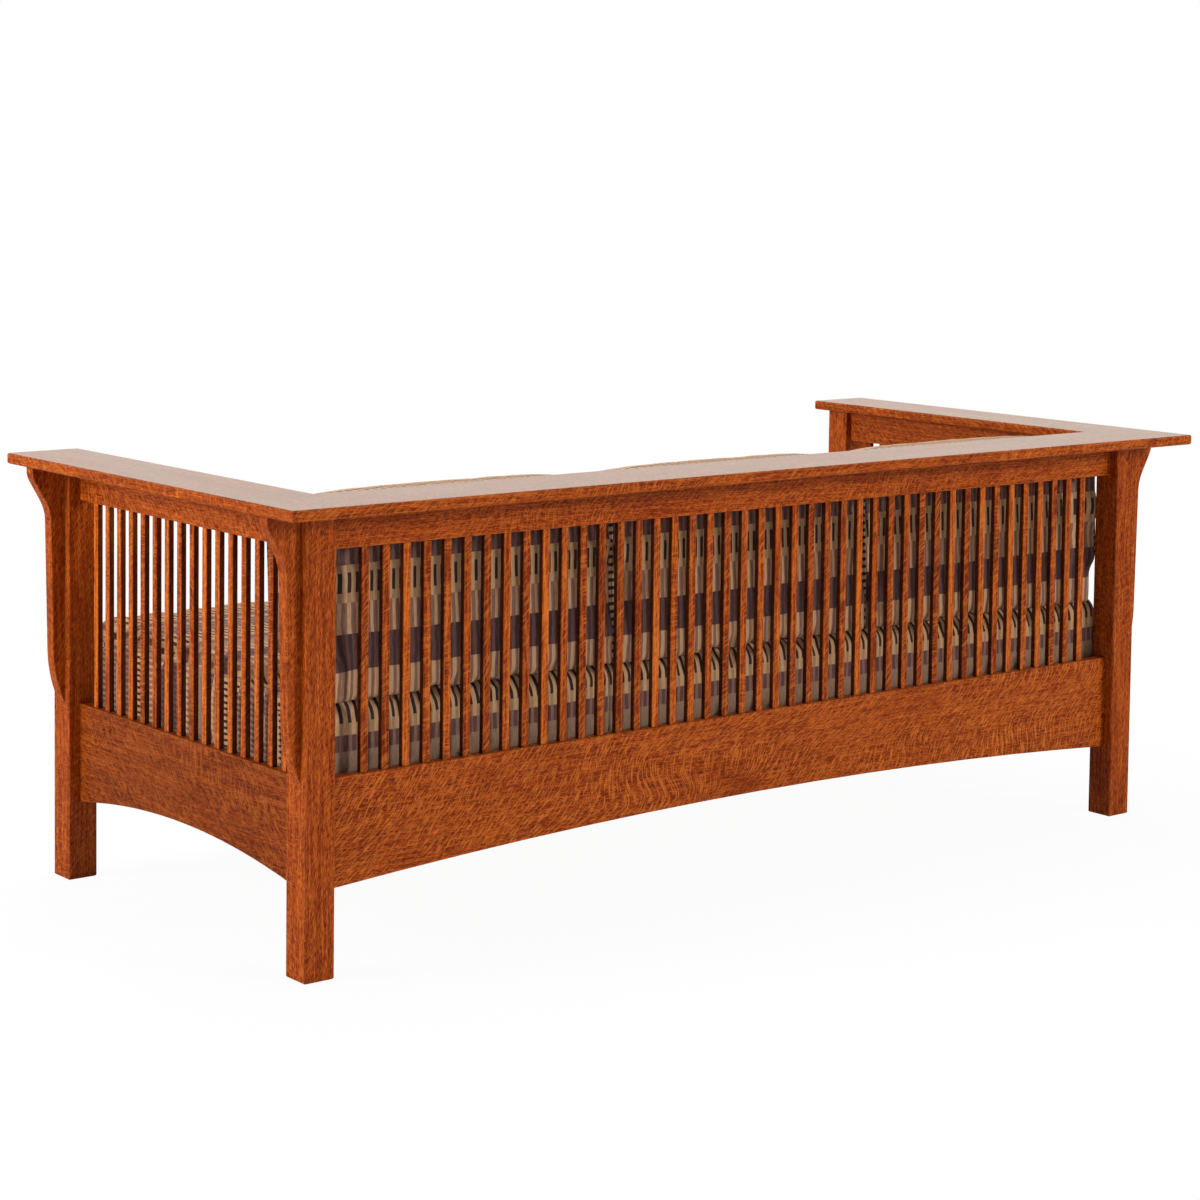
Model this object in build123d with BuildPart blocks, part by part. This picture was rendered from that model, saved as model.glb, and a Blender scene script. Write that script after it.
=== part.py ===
from build123d import *
import math
import os

os.makedirs("parts", exist_ok=True)

# A mission settle: four square posts, spindled back and sides, a wide flat cap that runs
# round the back and both arms, and six loose cushions on a slatted seat.
# Millimetres, +Z up. The seat faces -Y, right is +X, and the origin is on the floor
# under the middle of the cap's outline.

# Posts
post_size = 57.0
width_over_posts = 1982.0
depth_over_posts = 846.0
post_edge_chamfer = 2.0
foot_chamfer = 2.0

# Caps
cap_top_height = 777.0
cap_thickness = 19.0
cap_side_overhang = 76.0
cap_back_overhang = 78.0
cap_front_overhang = 36.0
arm_cap_width = 144.0
back_cap_width = 162.0
cap_corner_radius = 5.0
cap_edge_chamfer = 2.5

# Mitre splines, hidden in the two corners of the cap
spline_length = 110.0
spline_width = 24.0
spline_thickness = 4.0

# Rails
rail_thickness = 22.0
rail_setback = 21.0
rail_edge_chamfer = 1.0
top_rail_depth = 64.0
bottom_rail_top = 323.0
bottom_rail_depth = 182.0
arch_rise = 35.0
front_rail_drop = 9.0

# Tenons and the pegs that pin them
tenon_thickness = 10.0
long_tenon = 39.0
short_tenon = 18.0
top_tenon_shoulder = 8.0
bottom_tenon_shoulder = 14.0
bottom_tenon_depth = 56.0
joint_clearance = 0.1
peg_diameter = 9.5
peg_length = 38.0
peg_proud = 0.6
peg_chamfer = 0.5

# Spindles
spindle_width = 15.0
spindle_thickness = 10.5
spindle_edge_chamfer = 1.0
spindle_tenon_width = 10.0
spindle_tenon_thickness = 6.5
spindle_tenon_length = 10.0
back_spindle_end_space = 73.0
back_spindle_count = 43
side_spindle_end_space = 51.0
side_spindle_count = 16

# Corbels, the long brackets on the outward face of each post
corbel_thickness = 24.0
corbel_top_reach = 63.5
corbel_top_flat = 8.0
corbel_shoulder_radius = 40.0
corbel_throat_radius = 80.0
corbel_slope_length = 40.8
corbel_slope_angle = 30.0
corbel_foot_reach = 22.5
corbel_foot_height = 98.0
corbel_edge_chamfer = 1.0

# Loose tenons that hold the cap down, glued into the top rails and into the cap
cap_tenon_length = 60.0
cap_tenon_thickness = 8.0
cap_tenon_sink = 20.0
cap_tenon_bite = 12.0
cap_tenon_end_space = 114.0
back_cap_tenon_count = 5
side_cap_tenon_count = 3

# Seat: cleats, slats and a thin cloth-covered pad over them
cleat_thickness = 25.0
cleat_depth = 38.0
cleat_end_gap = 2.0
slat_width = 70.0
slat_thickness = 19.0
slat_count = 14
slat_row_end_space = 89.0
slat_end_gap = 1.0
deck_pad_thickness = 6.0
deck_pad_edge_gap = 4.0

# Cushions
cushion_clearance = 0.4
seat_cushion_gap = 1.0
seat_row_end_gap = 1.0
seat_middle_extra_width = 40.0
seat_cushion_front_setback = 23.0
seat_cushion_back_gap = 2.0
seat_corner_radius = 22.0
seat_side_draw = 6.0
seat_front_draw = 5.0
seat_height = 162.0

back_cushion_gap = 2.0
back_row_end_gap = 4.0
back_cushion_top_drop = 11.0
back_cushion_thickness = 172.0
back_cushion_lean = 2.5
back_corner_share = 0.1165
back_side_draw = 5.0
back_foot_draw = 2.0
back_top_crown = 10.0

# Places worked out from the sizes above
half_width = width_over_posts / 2
cap_underside = cap_top_height - cap_thickness
cap_depth = depth_over_posts + cap_back_overhang + cap_front_overhang
back_face = cap_depth / 2 - cap_back_overhang
front_face = cap_front_overhang - cap_depth / 2
clear_width = width_over_posts - 2 * post_size
clear_depth = depth_over_posts - 2 * post_size
rail_inset = rail_setback + rail_thickness / 2
back_rail_y = back_face - rail_inset
front_rail_y = front_face + rail_inset
side_rail_x = half_width - rail_inset
side_rail_y = (back_face + front_face) / 2
top_rail_bottom = cap_underside - top_rail_depth
bottom_rail_bottom = bottom_rail_top - bottom_rail_depth
front_rail_top = bottom_rail_top - front_rail_drop
seat_back_limit = back_rail_y - rail_thickness / 2
seat_front_limit = front_rail_y + rail_thickness / 2


def even_pitch(length, end_space, count):
    """The spacing of a row whose first and last middles are end_space from the ends."""
    return (length - 2 * end_space) / (count - 1)


back_spindle_pitch = even_pitch(clear_width, back_spindle_end_space, back_spindle_count)
side_spindle_pitch = even_pitch(clear_depth, side_spindle_end_space, side_spindle_count)
back_cap_tenon_pitch = even_pitch(clear_width, cap_tenon_end_space, back_cap_tenon_count)
side_cap_tenon_pitch = even_pitch(clear_depth, cap_tenon_end_space, side_cap_tenon_count)
slat_pitch = even_pitch(clear_width, slat_row_end_space, slat_count)


def fit(length):
    """A socket or mortise is this much larger than what goes into it."""
    return length + 2 * joint_clearance


# Tenon heights, as pairs of the middle height and the tenon's own height
def twin_tenons(bottom, top):
    """A deep rail has two tenons, one near each edge."""
    reach = bottom_tenon_shoulder + bottom_tenon_depth / 2
    return [(bottom + reach, bottom_tenon_depth), (top - reach, bottom_tenon_depth)]


top_tenons = [(cap_underside - top_rail_depth / 2, top_rail_depth - 2 * top_tenon_shoulder)]
bottom_tenons = twin_tenons(bottom_rail_bottom, bottom_rail_top)
front_tenons = twin_tenons(bottom_rail_bottom, front_rail_top)


# Posts: mortised on the two inner faces, eased along their edges and at the foot
def make_post(end_y, rail_y, facing, across_tenons):
    """A right-hand post. facing is 1 at the back and -1 at the front."""
    inner_x = half_width - post_size
    inner_y = end_y - facing * post_size
    with BuildPart() as post:
        with BuildSketch():
            with Locations((half_width - post_size / 2, end_y - facing * post_size / 2)):
                Rectangle(post_size, post_size)
        extrude(amount=cap_underside)
        chamfer(post.edges().filter_by(Axis.Z), post_edge_chamfer)
        chamfer(post.faces().sort_by(Axis.Z)[0].edges(), foot_chamfer)
        for middle, depth in across_tenons:
            with Locations((inner_x, rail_y, middle)):
                Box(long_tenon + joint_clearance, fit(tenon_thickness), fit(depth),
                    align=(Align.MIN, Align.CENTER, Align.CENTER), mode=Mode.SUBTRACT)
        side_align = Align.MIN if facing > 0 else Align.MAX
        for middle, depth in top_tenons + bottom_tenons:
            with Locations((side_rail_x, inner_y, middle)):
                Box(fit(tenon_thickness), short_tenon + joint_clearance, fit(depth),
                    align=(Align.CENTER, side_align, Align.CENTER), mode=Mode.SUBTRACT)
        if facing > 0:
            with Locations((half_width - post_size / 2, back_face, top_tenons[0][0])):
                Cylinder(peg_diameter / 2 + joint_clearance, peg_length, rotation=(90, 0, 0),
                         align=(Align.CENTER, Align.CENTER, Align.MIN), mode=Mode.SUBTRACT)
    return post


back_post = make_post(back_face, back_rail_y, 1, top_tenons + bottom_tenons)
front_post = make_post(front_face, front_rail_y, -1, front_tenons)

for name, post in (("back", back_post), ("front", front_post)):
    post.part.label = name + "_right_post"
    export_step(post.part, "parts/" + name + "_right_post.step")
    with BuildPart() as left_post:
        mirror(post.part, about=Plane.YZ)
    left_post.part.label = name + "_left_post"
    export_step(left_post.part, "parts/" + name + "_left_post.step")


# Rails: a board, arched along its lower edge where it has a rise, with tenons at each end
def rail_board(plane, length, bottom, top, rise, tenons, tenon_reach):
    """A board centred on its plane, with its long edges eased and its tenons beyond it."""
    with BuildPart() as board:
        with BuildSketch(plane):
            with BuildLine():
                Polyline((-length / 2, bottom), (-length / 2, top), (length / 2, top),
                         (length / 2, bottom))
                if rise > 0:
                    ThreePointArc((length / 2, bottom), (0, bottom + rise),
                                  (-length / 2, bottom))
                else:
                    Line((length / 2, bottom), (-length / 2, bottom))
            make_face()
        extrude(amount=rail_thickness / 2, both=True)
        long_edges = board.edges().filter_by(lambda edge: edge.length > length / 2)
        chamfer(long_edges, rail_edge_chamfer)
        end_middle = (length + tenon_reach) / 2
        with BuildSketch(plane):
            for middle, depth in tenons:
                with Locations((-end_middle, middle), (end_middle, middle)):
                    Rectangle(tenon_reach, depth)
        extrude(amount=tenon_thickness / 2, both=True)
    return board


back_plane = Plane.XZ.offset(-back_rail_y)
front_plane = Plane.XZ.offset(-front_rail_y)
side_plane = Plane(origin=(side_rail_x, side_rail_y, 0), x_dir=(0, 1, 0), z_dir=(1, 0, 0))

back_top_board = rail_board(back_plane, clear_width, top_rail_bottom, cap_underside, 0,
                            top_tenons, long_tenon)
back_bottom_board = rail_board(back_plane, clear_width, bottom_rail_bottom,
                               bottom_rail_top, arch_rise, bottom_tenons, long_tenon)
front_board = rail_board(front_plane, clear_width, bottom_rail_bottom, front_rail_top,
                         arch_rise, front_tenons, long_tenon)
side_top_board = rail_board(side_plane, clear_depth, top_rail_bottom, cap_underside, 0,
                            top_tenons, short_tenon)
side_bottom_board = rail_board(side_plane, clear_depth, bottom_rail_bottom,
                               bottom_rail_top, arch_rise, bottom_tenons, short_tenon)


def cap_tenon_set(grow):
    """The loose tenons under the cap, each grown all round, which turns them to sockets."""
    middle_height = cap_underside + (cap_tenon_bite - cap_tenon_sink) / 2
    height = cap_tenon_bite + cap_tenon_sink + 2 * grow
    with BuildPart() as tenon_set:
        with Locations((0, back_rail_y, middle_height)):
            with GridLocations(back_cap_tenon_pitch, 0, back_cap_tenon_count, 1):
                Box(cap_tenon_length + 2 * grow, cap_tenon_thickness + 2 * grow, height)
        with Locations((side_rail_x, side_rail_y, middle_height),
                       (-side_rail_x, side_rail_y, middle_height)):
            with GridLocations(0, side_cap_tenon_pitch, 1, side_cap_tenon_count):
                Box(cap_tenon_thickness + 2 * grow, cap_tenon_length + 2 * grow, height)
    return tenon_set


cap_tenon_sockets = cap_tenon_set(joint_clearance)
cap_tenons = cap_tenon_set(0)
cap_tenons.part.label = "cap_tenons"
export_step(cap_tenons.part, "parts/cap_tenons.step")

with BuildPart() as back_top_rail:
    add(back_top_board.part)
    with Locations((0, back_rail_y, top_rail_bottom)):
        with GridLocations(back_spindle_pitch, 0, back_spindle_count, 1):
            Box(fit(spindle_tenon_width), fit(spindle_tenon_thickness),
                spindle_tenon_length + joint_clearance,
                align=(Align.CENTER, Align.CENTER, Align.MIN), mode=Mode.SUBTRACT)
    add(cap_tenon_sockets.part, mode=Mode.SUBTRACT)
    for side in (-1, 1):
        with Locations((side * (half_width - post_size / 2), back_face, top_tenons[0][0])):
            Cylinder(peg_diameter / 2 + joint_clearance, peg_length, rotation=(90, 0, 0),
                     align=(Align.CENTER, Align.CENTER, Align.MIN), mode=Mode.SUBTRACT)
back_top_rail.part.label = "back_top_rail"
export_step(back_top_rail.part, "parts/back_top_rail.step")

with BuildPart() as back_bottom_rail:
    add(back_bottom_board.part)
    with Locations((0, back_rail_y, bottom_rail_top)):
        with GridLocations(back_spindle_pitch, 0, back_spindle_count, 1):
            Box(fit(spindle_tenon_width), fit(spindle_tenon_thickness),
                spindle_tenon_length + joint_clearance,
                align=(Align.CENTER, Align.CENTER, Align.MAX), mode=Mode.SUBTRACT)
back_bottom_rail.part.label = "back_bottom_rail"
export_step(back_bottom_rail.part, "parts/back_bottom_rail.step")

with BuildPart() as front_rail:
    add(front_board.part)
front_rail.part.label = "front_rail"
export_step(front_rail.part, "parts/front_rail.step")

with BuildPart() as right_top_rail:
    add(side_top_board.part)
    with Locations((side_rail_x, side_rail_y, top_rail_bottom)):
        with GridLocations(0, side_spindle_pitch, 1, side_spindle_count):
            Box(fit(spindle_tenon_thickness), fit(spindle_tenon_width),
                spindle_tenon_length + joint_clearance,
                align=(Align.CENTER, Align.CENTER, Align.MIN), mode=Mode.SUBTRACT)
    add(cap_tenon_sockets.part, mode=Mode.SUBTRACT)

with BuildPart() as right_bottom_rail:
    add(side_bottom_board.part)
    with Locations((side_rail_x, side_rail_y, bottom_rail_top)):
        with GridLocations(0, side_spindle_pitch, 1, side_spindle_count):
            Box(fit(spindle_tenon_thickness), fit(spindle_tenon_width),
                spindle_tenon_length + joint_clearance,
                align=(Align.CENTER, Align.CENTER, Align.MAX), mode=Mode.SUBTRACT)


# Spindles: flat bars with a stub tenon at each end
def spindle_bar():
    """One spindle, standing on the bottom rail at the middle of the plan, its width along X."""
    with BuildPart() as bar:
        with BuildSketch(Plane.XY.offset(bottom_rail_top)):
            Rectangle(spindle_width, spindle_thickness)
        extrude(amount=top_rail_bottom - bottom_rail_top)
        chamfer(bar.edges().filter_by(Axis.Z), spindle_edge_chamfer)
        with Locations((0, 0, (bottom_rail_top + top_rail_bottom) / 2)):
            Box(spindle_tenon_width, spindle_tenon_thickness,
                top_rail_bottom - bottom_rail_top + 2 * spindle_tenon_length)
    return bar


spindle = spindle_bar()

with BuildPart() as back_spindles:
    with Locations((0, back_rail_y)):
        with GridLocations(back_spindle_pitch, 0, back_spindle_count, 1):
            add(spindle.part)
back_spindles.part.label = "back_spindles"
export_step(back_spindles.part, "parts/back_spindles.step")

with BuildPart() as right_spindles:
    with Locations((side_rail_x, side_rail_y)):
        with GridLocations(0, side_spindle_pitch, 1, side_spindle_count):
            add(spindle.part, rotation=(0, 0, 90))


# Corbels: drawn from the side, then given their thickness across the post
def make_corbel(end_y, facing):
    """A right-hand corbel, centred on its post's outward face."""
    middle_y = end_y - facing * post_size / 2
    with BuildPart() as corbel:
        with BuildSketch(Plane.XZ.offset(-middle_y)):
            with BuildLine():
                top = Line((half_width, cap_underside),
                           (half_width + corbel_top_reach, cap_underside))
                nose = Line(top @ 1, top @ 1 - Vector(0, corbel_top_flat))
                shoulder = JernArc(nose @ 1, nose % 1, corbel_shoulder_radius,
                                   -corbel_slope_angle)
                slope = PolarLine(shoulder @ 1, corbel_slope_length,
                                  direction=shoulder % 1)
                throat = JernArc(slope @ 1, slope % 1, corbel_throat_radius,
                                 corbel_slope_angle)
                foot_start = (half_width + corbel_foot_reach,
                              bottom_rail_top + corbel_foot_height)
                stem = Line(throat @ 1, foot_start)
                foot = TangentArc(stem @ 1, (half_width, bottom_rail_top),
                                  tangent=stem % 1)
                Line(foot @ 1, top @ 0)
            make_face()
        extrude(amount=corbel_thickness / 2, both=True)
        shaped = corbel.edges().filter_by(
            lambda edge: edge.length > corbel_top_flat
            and edge.center().X > half_width + corbel_edge_chamfer
            and edge.center().Z < cap_underside - corbel_edge_chamfer
            and abs(edge.center().Y - middle_y) > corbel_edge_chamfer)
        chamfer(shaped, corbel_edge_chamfer)
    return corbel


back_corbel = make_corbel(back_face, 1)
front_corbel = make_corbel(front_face, -1)

for name, right_piece in (("back_right_corbel", back_corbel),
                          ("front_right_corbel", front_corbel),
                          ("right_top_rail", right_top_rail),
                          ("right_bottom_rail", right_bottom_rail),
                          ("right_spindles", right_spindles)):
    right_piece.part.label = name
    export_step(right_piece.part, "parts/" + name + ".step")
    with BuildPart() as left_piece:
        mirror(right_piece.part, about=Plane.YZ)
    left_name = name.replace("right", "left")
    left_piece.part.label = left_name
    export_step(left_piece.part, "parts/" + left_name + ".step")


# Caps: three boards that meet in a mitre at each back corner, each eased along its rims
outer_x = half_width + cap_side_overhang
outer_y = cap_depth / 2
inner_x = outer_x - arm_cap_width
inner_y = outer_y - back_cap_width
mitre_angle = math.degrees(math.atan2(back_cap_width, arm_cap_width))
spline_middle = ((outer_x + inner_x) / 2, (outer_y + inner_y) / 2)
beyond_x = outer_x + arm_cap_width
beyond_y = outer_y + back_cap_width

with BuildSketch() as cap_plan:
    RectangleRounded(2 * outer_x, 2 * outer_y, cap_corner_radius)
    with Locations((0, inner_y)):
        Rectangle(2 * inner_x, inner_y + outer_y, align=(Align.CENTER, Align.MAX),
                  mode=Mode.SUBTRACT)
    inner_front_corners = cap_plan.vertices().filter_by(
        lambda corner: abs(corner.X) < inner_x + cap_corner_radius and corner.Y < 0)
    fillet(inner_front_corners, cap_corner_radius)


def mitre_spline_set(grow):
    """The two splines inside the mitres, each grown all round, which turns them to slots."""
    with BuildPart() as spline_set:
        for side in (-1, 1):
            with Locations(Location((side * spline_middle[0], spline_middle[1],
                                     cap_underside + cap_thickness / 2),
                                    (0, 0, side * mitre_angle))):
                Box(spline_length + 2 * grow, spline_width + 2 * grow,
                    spline_thickness + 2 * grow)
    return spline_set


def cap_board(mitre_corners):
    """The board that the cap's plan has between these corners, with its slots and sockets."""
    with BuildPart() as board:
        with BuildSketch(Plane.XY.offset(cap_underside)):
            add(cap_plan.sketch)
            with BuildLine():
                Polyline(*mitre_corners, close=True)
            make_face(mode=Mode.INTERSECT)
        extrude(amount=cap_thickness)
        rims = board.faces().filter_by(Axis.Z).edges()
        mitre_edges = rims.filter_by(GeomType.LINE).filter_by(
            lambda edge: min(abs((edge % 0).X), abs((edge % 0).Y)) > joint_clearance)
        chamfer(rims - mitre_edges, cap_edge_chamfer)
        add(mitre_spline_slots.part, mode=Mode.SUBTRACT)
        add(cap_tenon_sockets.part, mode=Mode.SUBTRACT)
    return board


mitre_spline_slots = mitre_spline_set(joint_clearance)
mitre_splines = mitre_spline_set(0)
mitre_splines.part.label = "mitre_splines"
export_step(mitre_splines.part, "parts/mitre_splines.step")

back_cap = cap_board([(-inner_x, inner_y), (-beyond_x, beyond_y), (beyond_x, beyond_y),
                      (inner_x, inner_y)])
back_cap.part.label = "back_cap"
export_step(back_cap.part, "parts/back_cap.step")

right_arm_cap = cap_board([(inner_x, inner_y), (beyond_x, beyond_y), (beyond_x, -beyond_y),
                           (inner_x, -beyond_y)])
right_arm_cap.part.label = "right_arm_cap"
export_step(right_arm_cap.part, "parts/right_arm_cap.step")

with BuildPart() as left_arm_cap:
    mirror(right_arm_cap.part, about=Plane.YZ)
left_arm_cap.part.label = "left_arm_cap"
export_step(left_arm_cap.part, "parts/left_arm_cap.step")

# Pegs across the top tenons of the back, seen as round ends on the back posts
with BuildPart() as tenon_pegs:
    for side in (-1, 1):
        with Locations((side * (half_width - post_size / 2), back_face + peg_proud,
                        top_tenons[0][0])):
            Cylinder(peg_diameter / 2, peg_length, rotation=(90, 0, 0),
                     align=(Align.CENTER, Align.CENTER, Align.MIN))
    chamfer(tenon_pegs.faces().filter_by(Axis.Y).group_by(Axis.Y)[-1].edges(), peg_chamfer)
tenon_pegs.part.label = "tenon_pegs"
export_step(tenon_pegs.part, "parts/tenon_pegs.step")

# Seat: a cleat along the front and the back rail, slats across them, and a thin pad
slat_top = front_rail_top - deck_pad_thickness
slat_bottom = slat_top - slat_thickness
cleat_length = clear_width - 2 * cleat_end_gap
seat_middle_y = (seat_back_limit + seat_front_limit) / 2
seat_reach = seat_back_limit - seat_front_limit


def make_cleat(wall_y, facing):
    """facing is 1 for the cleat on the back rail and -1 for the one on the front rail."""
    with BuildPart() as cleat:
        with Locations((0, wall_y - facing * cleat_thickness / 2, slat_bottom - cleat_depth / 2)):
            Box(cleat_length, cleat_thickness, cleat_depth)
    return cleat


back_cleat = make_cleat(seat_back_limit, 1)
back_cleat.part.label = "back_cleat"
export_step(back_cleat.part, "parts/back_cleat.step")

front_cleat = make_cleat(seat_front_limit, -1)
front_cleat.part.label = "front_cleat"
export_step(front_cleat.part, "parts/front_cleat.step")

with BuildPart() as seat_slats:
    with Locations((0, seat_middle_y, slat_bottom + slat_thickness / 2)):
        with GridLocations(slat_pitch, 0, slat_count, 1):
            Box(slat_width, seat_reach - 2 * slat_end_gap, slat_thickness)
seat_slats.part.label = "seat_slats"
export_step(seat_slats.part, "parts/seat_slats.step")

with BuildPart() as seat_deck_pad:
    with Locations((0, seat_middle_y, slat_top + deck_pad_thickness / 2)):
        Box(clear_width - 2 * deck_pad_edge_gap, seat_reach - 2 * deck_pad_edge_gap,
            deck_pad_thickness)
seat_deck_pad.part.label = "seat_deck_pad"
export_step(seat_deck_pad.part, "parts/seat_deck_pad.step")


# Cushions: level outlines with rounded corners and sides drawn in between them, lofted
# level by level from the face that rests to the crown
def cushion_outline(left, right, low, high, radius, draws):
    """draws are how far the left, right, low and high sides pull in at their middle."""
    left_draw, right_draw, low_draw, high_draw = draws
    middle_x = (left + right) / 2
    middle_y = (low + high) / 2
    lean = radius * (1 - math.sqrt(0.5))
    with BuildLine() as outline:
        ThreePointArc((left + radius, low), (middle_x, low + low_draw), (right - radius, low))
        ThreePointArc((right - radius, low), (right - lean, low + lean), (right, low + radius))
        ThreePointArc((right, low + radius), (right - right_draw, middle_y),
                      (right, high - radius))
        ThreePointArc((right, high - radius), (right - lean, high - lean),
                      (right - radius, high))
        ThreePointArc((right - radius, high), (middle_x, high - high_draw),
                      (left + radius, high))
        ThreePointArc((left + radius, high), (left + lean, high - lean), (left, high - radius))
        ThreePointArc((left, high - radius), (left + left_draw, middle_y),
                      (left, low + radius))
        ThreePointArc((left, low + radius), (left + lean, low + lean), (left + radius, low))
    return outline.edges()


cushion_base = front_rail_top + cushion_clearance
seat_end_width = (clear_width - 2 * seat_row_end_gap - 2 * seat_cushion_gap
                  - seat_middle_extra_width) / 3
seat_middle_width = seat_end_width + seat_middle_extra_width
seat_cushion_front = front_face + seat_cushion_front_setback
seat_cushion_back = back_face - post_size - seat_cushion_back_gap
seat_cushion_depth = seat_cushion_back - seat_cushion_front

# Seat cushion levels: the height, then how far the sides, the front and the back step in,
# as shares of the cushion's height, width, depth and depth. The back stays low, because
# the back cushion presses on it.
seat_level_shares = (
    (0.000, 0.016, 0.013, 0.013),
    (0.070, 0.006, 0.005, 0.005),
    (0.300, 0.000, 0.000, 0.000),
    (0.500, 0.000, 0.000, 0.001),
    (0.600, 0.001, 0.001, 0.005),
    (0.680, 0.002, 0.002, 0.016),
    (0.740, 0.004, 0.003, 0.034),
    (0.765, 0.006, 0.005, 0.055),
    (0.772, 0.007, 0.006, 0.250),
    (0.850, 0.012, 0.010, 0.262),
    (0.920, 0.024, 0.020, 0.280),
    (0.965, 0.040, 0.033, 0.305),
    (0.990, 0.065, 0.052, 0.340),
    (1.000, 0.150, 0.120, 0.430),
)


def make_seat_cushion(middle_x, width):
    """One seat cushion, boxy in front and low at the back, where the back cushion stands."""
    left = middle_x - width / 2
    right = middle_x + width / 2
    with BuildPart() as cushion:
        for height_share, side_share, front_share, back_share in seat_level_shares:
            with BuildSketch(Plane.XY.offset(cushion_base + height_share * seat_height)):
                make_face(cushion_outline(
                    left + side_share * width, right - side_share * width,
                    seat_cushion_front + front_share * seat_cushion_depth,
                    seat_cushion_back - back_share * seat_cushion_depth,
                    seat_corner_radius,
                    (seat_side_draw, seat_side_draw, seat_front_draw, seat_front_draw)))
        loft(ruled=True)
    return cushion


seat_end_x = seat_middle_width / 2 + seat_cushion_gap + seat_end_width / 2
for name, middle_x, width in (("left_seat_cushion", -seat_end_x, seat_end_width),
                              ("middle_seat_cushion", 0, seat_middle_width),
                              ("right_seat_cushion", seat_end_x, seat_end_width)):
    seat_cushion = make_seat_cushion(middle_x, width)
    seat_cushion.part.label = name
    export_step(seat_cushion.part, "parts/" + name + ".step")

# Back cushion levels: the distance forward of its rear face, then how far the sides, the
# top and the bottom step in, as shares of its thickness, width, height and height
back_level_shares = (
    (0.00, 0.012, 0.038, 0.030),
    (0.07, 0.004, 0.012, 0.008),
    (0.35, 0.000, 0.000, 0.000),
    (0.64, 0.006, 0.012, 0.012),
    (0.78, 0.020, 0.040, 0.038),
    (0.88, 0.050, 0.095, 0.085),
    (0.95, 0.105, 0.180, 0.160),
    (1.00, 0.200, 0.300, 0.280),
)
seat_under_back_share = 0.772
back_cushion_foot = cushion_base + seat_under_back_share * seat_height + cushion_clearance
back_cushion_height = cap_top_height - back_cushion_top_drop - back_cushion_foot
back_cushion_width = (2 * inner_x - 2 * back_row_end_gap - 2 * back_cushion_gap) / 3
back_cushion_pitch = back_cushion_width + back_cushion_gap
back_corner_radius = back_corner_share * back_cushion_height
lean = math.radians(back_cushion_lean)
back_cushion_rear = (inner_y - cushion_clearance
                     + (cap_underside - back_cushion_foot) * math.tan(lean))


def make_back_cushion(middle_x):
    """One back cushion, standing on the seat with its top against the cap's inner edge."""
    rear = Plane(origin=(middle_x, back_cushion_rear, back_cushion_foot), x_dir=(1, 0, 0),
                 z_dir=(0, -math.cos(lean), -math.sin(lean)))
    with BuildPart() as cushion:
        for forward_share, side_share, top_share, bottom_share in back_level_shares:
            forward = forward_share * back_cushion_thickness
            half = back_cushion_width * (1 / 2 - side_share)
            with BuildSketch(rear.offset(forward)):
                make_face(cushion_outline(
                    -half, half,
                    bottom_share * back_cushion_height + forward * math.tan(lean),
                    (1 - top_share) * back_cushion_height, back_corner_radius,
                    (back_side_draw, back_side_draw, back_foot_draw, -back_top_crown)))
        loft(ruled=True)
    return cushion


for name, step in (("left_back_cushion", -1), ("middle_back_cushion", 0),
                   ("right_back_cushion", 1)):
    back_cushion = make_back_cushion(step * back_cushion_pitch)
    back_cushion.part.label = name
    export_step(back_cushion.part, "parts/" + name + ".step")
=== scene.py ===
# %% [markdown]
# # A mission settle
# A long settle in quarter-sawn oak: square posts, rails mortised into them, rows of flat
# spindles, a wide flat cap, and loose striped cushions. The joinery comes ready as a fixed
# frame. This lesson gives the oak its stain and grain, and makes the cushions as sewn cloth.

# %% Load the frame
import math
import bpy
import numpy as np
from mathutils import Matrix, Vector


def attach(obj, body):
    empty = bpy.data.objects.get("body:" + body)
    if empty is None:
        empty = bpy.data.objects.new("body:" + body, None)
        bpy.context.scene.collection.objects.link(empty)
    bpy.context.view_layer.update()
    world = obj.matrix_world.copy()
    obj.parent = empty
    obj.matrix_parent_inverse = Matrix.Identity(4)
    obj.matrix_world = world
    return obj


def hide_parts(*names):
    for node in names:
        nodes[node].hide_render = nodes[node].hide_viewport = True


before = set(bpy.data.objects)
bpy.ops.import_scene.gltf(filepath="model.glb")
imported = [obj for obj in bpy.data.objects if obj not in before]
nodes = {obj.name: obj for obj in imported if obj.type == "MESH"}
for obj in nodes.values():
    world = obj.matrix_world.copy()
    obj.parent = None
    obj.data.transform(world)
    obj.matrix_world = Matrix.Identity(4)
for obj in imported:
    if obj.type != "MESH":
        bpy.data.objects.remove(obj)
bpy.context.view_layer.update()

# %% [markdown]
# ## The camera
# The photograph was taken with a long lens from behind one end, from well above the cap.
# Its posts are almost parallel, so the camera tilts down by only four degrees, and a shift
# of the lens, as in a view camera, brings the settle to the middle of the picture.

# %% Camera
def aim(place, yaw, pitch, roll):
    """The turned frame of a thing at place that looks along yaw and pitch, in degrees.
    Its own -Z is the line of sight and its own Y is up, turned by roll about that line."""
    yaw, pitch, roll = (math.radians(angle) for angle in (yaw, pitch, roll))
    forward = Vector((math.cos(yaw) * math.cos(pitch), math.sin(yaw) * math.cos(pitch),
                      math.sin(pitch)))
    level = Vector((math.sin(yaw), -math.cos(yaw), 0))
    upright = level.cross(forward)
    right = math.cos(roll) * level + math.sin(roll) * upright
    up = math.cos(roll) * upright - math.sin(roll) * level
    turn = Matrix((right, up, -forward)).transposed().to_4x4()
    return Matrix.Translation(place) @ turn


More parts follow.
